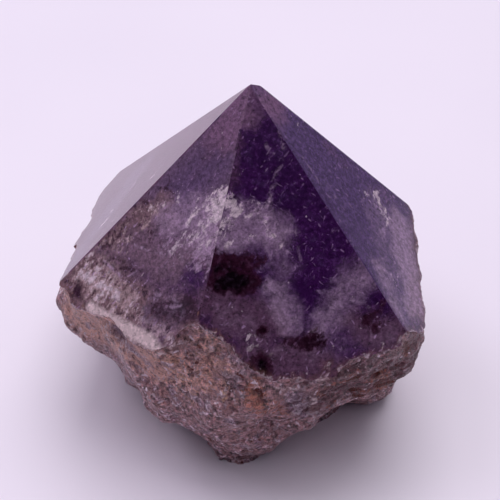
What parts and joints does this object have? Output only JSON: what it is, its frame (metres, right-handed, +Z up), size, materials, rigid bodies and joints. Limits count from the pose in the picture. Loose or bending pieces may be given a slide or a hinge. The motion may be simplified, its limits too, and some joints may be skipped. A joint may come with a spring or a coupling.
{
  "type": "amethyst point",
  "caption": "Semi-polished amethyst crystal point: a polished pyramid tip on its own rough natural base, sawn flat underneath so that it stands.",
  "frame": {"origin": "on the sawn flat underside, straight below the tip of the point", "axes": "+Z up along the crystal's long axis to the tip, -Y towards the front corner that the picture shows, +X to the right"},
  "size_m": [0.0745, 0.0727, 0.075],
  "materials": {
    "amethyst": "polished on the upper faces, rough and iron-stained on the base"
  },
  "bodies": {
    "root": {"amethyst_point": "amethyst"}
  },
  "joints": []
}
